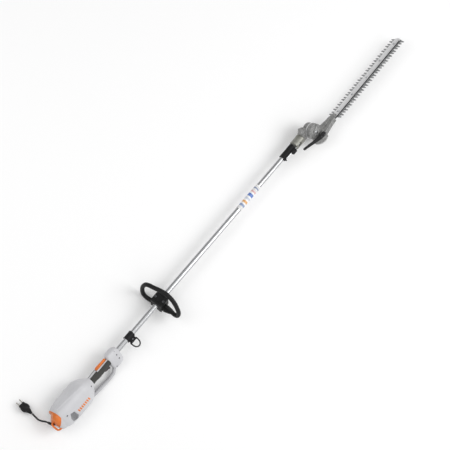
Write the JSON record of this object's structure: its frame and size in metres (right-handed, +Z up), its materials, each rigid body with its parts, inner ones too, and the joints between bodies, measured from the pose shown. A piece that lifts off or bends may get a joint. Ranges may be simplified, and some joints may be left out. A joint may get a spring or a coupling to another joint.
{
  "type": "hedge trimmer",
  "caption": "Long-reach electric hedge trimmer with a rear motor, straight tube, front loop handle and swinging double-edged cutter bar.",
  "frame": {"origin": "middle of the tool in plan, on the flat surface that it lies on", "axes": "+X along the tube from the mains lead towards the blade tip, +Y to the left, +Z up"},
  "size_m": [2.5518, 0.2991, 0.1618],
  "materials": {
    "housing_plastic": "light grey moulded plastic, slight sheen",
    "guard_plastic": "light grey moulded plastic",
    "orange_plastic": "orange moulded plastic",
    "trigger_plastic": "dark brown black moulded plastic",
    "grille_plastic": "mid grey vent inserts",
    "black_plastic": "black glass-filled plastic, fine texture",
    "soft_grip": "soft moulded grip cover, matt",
    "cable_rubber": "black cable jacket",
    "tube_aluminium": "bright drawn tube with lengthwise lines",
    "label_film": "printed wrap-round film",
    "cast_alloy": "die cast, fine blasted surface",
    "neck_alloy": "die cast, slightly green grey",
    "blade_steel": "ground blade steel",
    "bar_steel": "bright rolled steel strip",
    "rod_steel": "ground steel",
    "dark_steel": "blackened fasteners",
    "black_metal": "black coated steel",
    "motor_core": "laminated iron with copper windings",
    "bush": "plain bearing bushes"
  },
  "bodies": {
    "pole": {"air_grille_left": "grille_plastic", "air_grille_right": "grille_plastic", "cord_gland": "cable_rubber", "drive_tube": "tube_aluminium", "front_bearing": "rod_steel", "guard_bar": "guard_plastic", "handle_left": "housing_plastic", "handle_right": "housing_plastic", "hinge_bolt": "dark_steel", "housing_left": "housing_plastic", "housing_right": "housing_plastic", "loop_bolt_1": "dark_steel", "loop_bolt_2": "dark_steel", "loop_clamp_cap": "black_plastic", "loop_handle": "black_plastic", "mains_lead": "cable_rubber", "motor_field": "motor_core", "neck_tube": "neck_alloy", "plug": "black_plastic", "plug_pin_1": "rod_steel", "plug_pin_2": "rod_steel", "rear_bearing": "rod_steel", "rear_cap": "orange_plastic", "ring_clamp": "black_plastic", "ring_clamp_bolt": "dark_steel", "rod_bush_1": "bush", "rod_bush_2": "bush", "rod_bush_3": "bush", "screw_1": "dark_steel", "screw_2": "dark_steel", "screw_3": "dark_steel", "screw_4": "dark_steel", "screw_5": "dark_steel", "screw_6": "dark_steel", "shaft_gear_case": "cast_alloy", "soft_grip": "soft_grip", "switch_unit": "black_plastic", "tube_label": "label_film"},
    "drive": {"motor_armature": "motor_core", "cooling_fan": "black_plastic", "drive_rod": "rod_steel"},
    "trigger": {"trigger": "trigger_plastic"},
    "lockout": {"lockout_lever": "orange_plastic"},
    "lock": {"lock_sleeve": "black_plastic", "lock_rod": "rod_steel"},
    "ring": {"carry_ring": "black_metal"},
    "head": {"blade_gear_case": "cast_alloy", "quadrant": "bar_steel", "crank_case": "cast_alloy", "crank_cover": "cast_alloy", "guide_bar": "bar_steel", "swing_lever": "black_metal", "bar_bolt_1": "dark_steel", "bar_bolt_2": "dark_steel", "bar_bolt_3": "dark_steel", "bar_bolt_4": "dark_steel", "bar_bolt_5": "dark_steel"},
    "blade_upper": {"upper_blade": "blade_steel"},
    "blade_lower": {"lower_blade": "blade_steel"},
    "crank": {"crank_wheel": "rod_steel"}
  },
  "joints": [
    {"name": "trigger_squeeze", "type": "hinge", "parent": "pole", "child": "trigger", "pos_m": [-0.91874, -0.00995, 0.0516], "axis": [0, -0.6428, 0.766], "range_deg": [0, 9], "stiffness_Nm_per_rad": 1.5, "springref_deg": -8.59},
    {"name": "lockout_press", "type": "hinge", "parent": "pole", "child": "lockout", "pos_m": [-0.88674, 0.0184, 0.07539], "axis": [0, -0.6428, 0.766], "range_deg": [0, 4], "stiffness_Nm_per_rad": 1, "springref_deg": -5.73},
    {"name": "lock_slide", "type": "slide", "parent": "pole", "child": "lock", "axis": [-1, 0, 0], "range_m": [0, 0.014], "stiffness_N_per_m": 400},
    {"name": "ring_swing", "type": "hinge", "parent": "pole", "child": "ring", "pos_m": [-0.73074, -0.02369, 0.06189], "axis": [1, 0, 0], "range_deg": [-60, 75]},
    {"name": "head_swing", "type": "hinge", "parent": "pole", "child": "head", "pos_m": [0.59226, -0.02211, 0.091], "axis": [0, -0.6428, 0.766], "range_deg": [-35, 90]},
    {"name": "upper_blade_slide", "type": "slide", "parent": "head", "child": "blade_upper", "axis": [0.9998, 0.016, 0.0135], "range_m": [-0.008, 0.008]},
    {"name": "lower_blade_slide", "type": "slide", "parent": "head", "child": "blade_lower", "axis": [0.9998, 0.016, 0.0135], "range_m": [-0.008, 0.008]},
    {"name": "motor_spin", "type": "hinge", "parent": "pole", "child": "drive", "pos_m": [-1.11474, 0.00231, 0.06189], "axis": [1, 0, 0], "continuous": true},
    {"name": "crank_spin", "type": "hinge", "parent": "head", "child": "crank", "pos_m": [0.60852, -0.06783, 0.05264], "axis": [-0.0209, 0.7659, 0.6426], "continuous": true}
  ],
  "couplings": [
    {"joint": "lower_blade_slide", "follows": "upper_blade_slide", "ratio": -1},
    {"joint": "crank_spin", "follows": "motor_spin", "ratio": -0.16}
  ]
}
